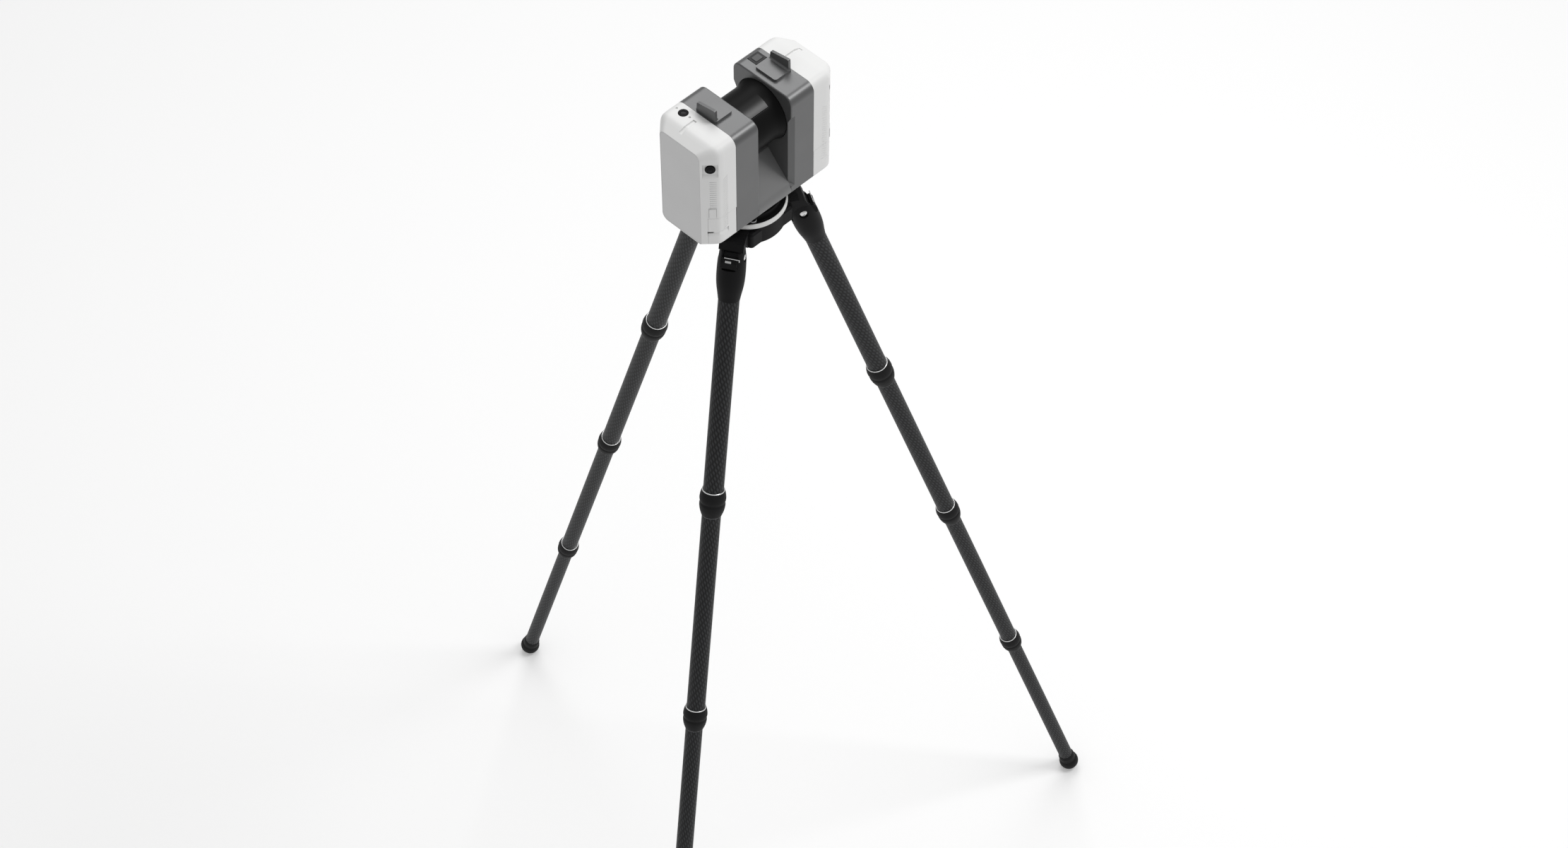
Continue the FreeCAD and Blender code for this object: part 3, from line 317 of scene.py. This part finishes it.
def lathe(name, profile, matrix, material, body, segments=96):
    """Closed (radius, height) profile in metres, turned about the matrix's Z axis."""
    count = len(profile)
    verts, faces = [], []
    for i in range(segments):
        angle = 2 * math.pi * i / segments
        spoke = Vector((math.cos(angle), math.sin(angle), 0))
        verts += [matrix @ (spoke * radius + Vector((0, 0, height))) for radius, height in profile]
        here, after = i * count, (i + 1) % segments * count
        for k in range(count):
            following = (k + 1) % count
            faces.append((here + k, here + following, after + following, after + k))
    return add_piece(name, verts, faces, material, body)


def plate(name, corners, thickness, matrix, material, body, bevel=0.0002):
    """Flat plate: outline (x, y) in metres in the matrix's XY plane, thickness along its Z."""
    count = len(corners)
    verts = [matrix @ Vector((x, y, z)) for z in (0, thickness) for x, y in corners]
    faces = [tuple(range(count)), tuple(range(count, 2 * count))]
    faces += [(k, (k + 1) % count, count + (k + 1) % count, count + k) for k in range(count)]
    return add_piece(name, verts, faces, material, body, bevel)


def rounded_rectangle(half_x, half_y, radius, steps=6):
    """Corners of a rectangle with round corners, centred on the origin."""
    corners = []
    for quarter, (side_x, side_y) in enumerate(((1, 1), (-1, 1), (-1, -1), (1, -1))):
        for k in range(steps + 1):
            angle = math.pi / 2 * (quarter + k / steps)
            corners.append((side_x * (half_x - radius) + radius * math.cos(angle),
                            side_y * (half_y - radius) + radius * math.sin(angle)))
    return corners


def facing(point, outward, upward=(0, 0, 1)):
    """Matrix with its Z along outward and its Y as near upward as can be."""
    z = Vector(outward).normalized()
    x = Vector(upward).cross(z).normalized()
    return Matrix.Translation(point) @ Matrix((x, z.cross(x), z)).transposed().to_4x4()


def leg_rings(leg):
    """Silver ring on top of each twist lock and a dull one at its lower end."""
    corner, sunk = 0.0005, 0.0003
    for index in (1, 2, 3):
        collar = in_leg_frame(leg, f"{leg}_lock_{index}")
        for name, step, size, material in RINGS:
            level = step * max(step * v.z for v in collar)
            bore = min(math.hypot(v.x, v.y) for v in collar if abs(v.z - level) < 0.0002) + 0.0001
            outer, far = bore + size, level + step * size
            profile = [(bore, level - step * sunk), (bore, far), (outer - corner, far),
                       (outer, far - step * corner), (outer, level - step * sunk)]
            lathe(f"{leg}_{name}_{index}", profile, LEG_FRAMES[leg], material, f"{leg}_twist_lock_{index}")


def latch_plate(leg):
    """Bright folded plate on top of the angle latch, and the small label pad under it."""
    latch = in_leg_frame(leg, leg + "_angle_latch")
    top, outer = max(v.z for v in latch), max(v.x for v in latch)
    start, end, sheet, fold = -0.0073, 0.0158, 0.0013, 0.0042
    bend = end - 0.0012
    strip = [(start, 0.0), (end, 0.0), (end, -fold), (bend, -fold), (bend, -sheet), (start, -sheet)]
    on_edge = facing((outer - 0.0022, 0, top + 0.0014), (1, 0, 0))
    plate(leg + "_latch_plate", strip, 0.0014, LEG_FRAMES[leg] @ on_edge, "folded_plate", leg + "_angle_stop",
          0.0003)
    on_slope = facing((outer - 0.0006, -0.001, top - 0.0051), (7.0, 0, 2.2), (-2.2, 0, 7.0))
    pad = rounded_rectangle(0.0045, 0.0016, 0.0006)
    plate(leg + "_latch_label", pad, 0.0004, LEG_FRAMES[leg] @ on_slope, "label_grey", leg + "_angle_stop")


def lever_rim():
    """Light rim round the free end of the quick-release lever."""
    low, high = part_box("quick_release_lever")
    radius = LEVER_TIP_RADIUS
    centre = Matrix.Translation((low.x + radius, low.y + radius, high.z))
    profile = [(radius - 0.0009, -0.0002), (radius - 0.0009, 0.0004), (radius - 0.0002, 0.0004),
               (radius + 0.0001, -0.0001), (radius + 0.0001, -0.0009), (radius - 0.0004, -0.0009)]
    lathe("lever_rim", profile, centre, "dull_metal", "quick_release_lever")


def loose_parts(mesh):
    """For each separate piece of a mesh: its corner points, and the area and normal of its faces."""
    groups = bmesh.new()
    groups.from_mesh(mesh)
    bmesh.ops.remove_doubles(groups, verts=groups.verts, dist=1e-6)
    waiting, parts = set(groups.verts), []
    while waiting:
        stack, found = [waiting.pop()], []
        while stack:
            vertex = stack.pop()
            found.append(vertex)
            joined = {edge.other_vert(vertex) for edge in vertex.link_edges} & waiting
            waiting -= joined
            stack += joined
        faces = {face for vertex in found for face in vertex.link_faces}
        parts.append(([v.co.copy() for v in found], [(f.calc_area(), f.normal.copy()) for f in faces]))
    groups.free()
    return parts


def broad_normal(faces, outward):
    """Of the normals that point outward, the one that most of the area shares."""
    def shared_area(normal):
        return sum(area for area, other in faces if other.dot(normal) > 0.999)
    return max((normal for area, normal in faces if normal.dot(outward) > 0), key=shared_area)


def camera_lenses():
    """Ring and domed lens on each dark camera window."""
    middle = node_centre("chassis")
    ring = [(0.0046, 0.0), (0.0048, 0.0003), (0.0057, 0.0003), (0.0060, 0.0), (0.0057, -0.0003)]
    dome = [(0.00001, 0.0005), (0.0015, 0.00045), (0.003, 0.0003), (0.0042, 0.0), (0.0042, -0.0003),
            (0.00001, -0.0003)]
    for index, (points, faces) in enumerate(loose_parts(NODES["camera_windows"].data)):
        centre = sum(points, Vector()) / len(points)
        on_top = centre.z > max(p.z for p in points) - 0.0009
        outward = Vector((centre.x - middle.x, centre.y * 1.8, centre.z - middle.z))
        normal = Vector((0, 0, 1)) if on_top else broad_normal(faces, outward)
        level = max((p - centre).dot(normal) for p in points)
        matrix = facing(centre + normal * level, normal, (0, 1, 0) if on_top else (0, 0, 1))
        lathe(f"camera_ring_{index}", ring, matrix, "black_plastic", "alidade")
        lathe(f"camera_lens_{index}", dome, matrix, "lens_glass", "alidade")


def display_screen():
    """Glass in the window of the display panel, with a thin border round its picture area."""
    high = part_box("display_panel")[1]
    face = facing((high.x - 0.0008, 0, node_centre("mirror_drum").z - 0.007), (1, 0, 0))
    plate("display_glass", rounded_rectangle(0.0288, 0.0408, 0.003), 0.0005, face, "screen_glass", "alidade")
    border = face @ Matrix.Translation((0, 0.004, 0.0005))
    plate("display_border", rounded_rectangle(0.0255, 0.0335, 0.0015), 0.0001, border, "display", "alidade",
          0.00003)
    screen = border @ Matrix.Translation((0, 0, 0.0001))
    plate("display_area", rounded_rectangle(0.0245, 0.0325, 0.001), 0.0001, screen, "screen_glass", "alidade",
          0.00003)


def button_pad():
    """Lighter key in the middle of the power button."""
    centre, high = node_centre("power_button"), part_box("power_button")[1]
    on_top = Matrix.Translation((centre.x, centre.y, high.z))
    plate("power_button_pad", rounded_rectangle(0.0066, 0.0053, 0.0014), 0.00015, on_top, "button_pad",
          "power_button", 0.00005)


def build_details():
    for leg in LEGS:
        leg_rings(leg)
        latch_plate(leg)
    lever_rim()
    camera_lenses()
    display_screen()
    button_pad()


# ---- floor, light, camera ---------------------------------------------------
def build_floor():
    half = FLOOR_HALF
    mesh = bpy.data.meshes.new("floor")
    corners = [(-half, -half, 0), (half, -half, 0), (half, half, 0), (-half, half, 0)]
    mesh.from_pydata(corners, [], [(0, 1, 2, 3)])
    floor = bpy.data.objects.new("floor", mesh)
    bpy.context.scene.collection.objects.link(floor)
    paper = surface("floor_paper", (0.95, 0.95, 0.95), 0.9, bump=0.0, spread=0.0, specular=0.1)
    glow = next(n for n in paper.node_tree.nodes if n.type == "BSDF_PRINCIPLED")
    glow.inputs["Emission Color"].default_value = (1, 1, 1, 1)
    glow.inputs["Emission Strength"].default_value = FLOOR_GLOW
    mesh.materials.append(paper)


def build_light():
    world = bpy.data.worlds.new("studio")
    bpy.context.scene.world = world
    world.use_nodes = True
    background = world.node_tree.nodes["Background"]
    background.inputs["Color"].default_value = (1, 1, 1, 1)
    background.inputs["Strength"].default_value = WORLD_STRENGTH
    bpy.context.scene.view_settings.view_transform = "Standard"
    for name, place, size, power in LAMPS:
        light = bpy.data.lights.new(name, "AREA")
        light.shape, light.size, light.energy = "SQUARE", size, power
        lamp = bpy.data.objects.new(name, light)
        lamp.location = place
        lamp.rotation_euler = (LAMP_TARGET - Vector(place)).to_track_quat("-Z", "Y").to_euler()
        bpy.context.scene.collection.objects.link(lamp)


def build_camera():
    camera = bpy.data.cameras.new("camera")
    camera.sensor_width, camera.lens = CAMERA_SENSOR, CAMERA_LENS
    camera.clip_end = 50
    rig = bpy.data.objects.new("camera", camera)
    rig.location = CAMERA_PLACE
    heading, pitch = math.radians(CAMERA_HEADING), math.radians(CAMERA_PITCH)
    rig.rotation_euler = (math.pi / 2 - pitch, 0, heading - math.pi / 2)
    bpy.context.scene.collection.objects.link(rig)
    bpy.context.scene.camera = rig


dress_frame()
build_details()
build_floor()
build_light()
build_camera()
